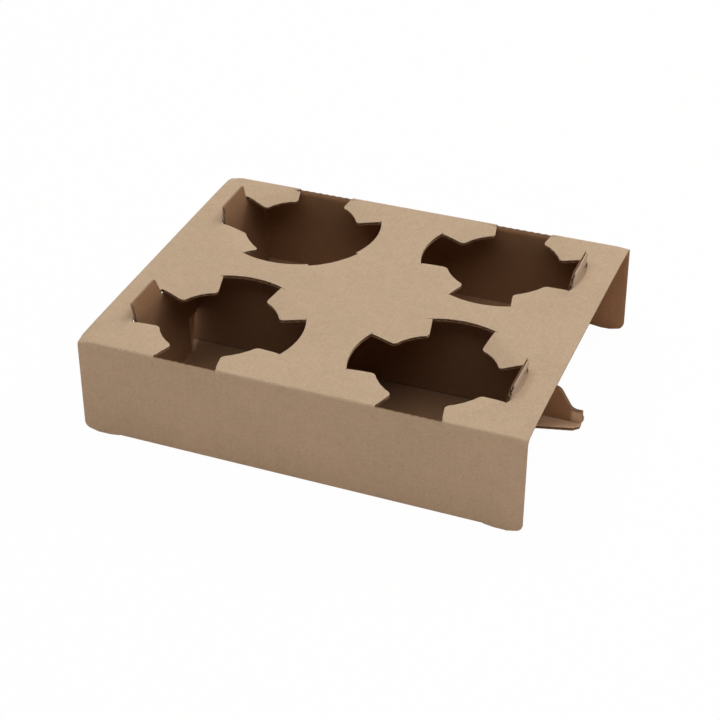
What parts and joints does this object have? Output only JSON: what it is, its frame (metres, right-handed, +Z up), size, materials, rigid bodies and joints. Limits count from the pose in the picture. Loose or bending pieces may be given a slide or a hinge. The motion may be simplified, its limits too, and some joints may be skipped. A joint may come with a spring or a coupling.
{
  "type": "cardboard cup carrier",
  "caption": "Folded corrugated kraft cup carrier: a shallow open-ended sleeve with round toothed cup holes, locking side walls and a pleated divider under the top panel.",
  "frame": {"origin": "table plane under the middle of the carrier", "axes": "+X along the long side, -Y towards the front skirt, +Z up"},
  "size_m": [0.2144, 0.1656, 0.0563],
  "materials": {
    "kraft_board": "uncoated brown kraft"
  },
  "bodies": {
    "root": {"cup_carrier": "kraft_board"}
  },
  "joints": []
}
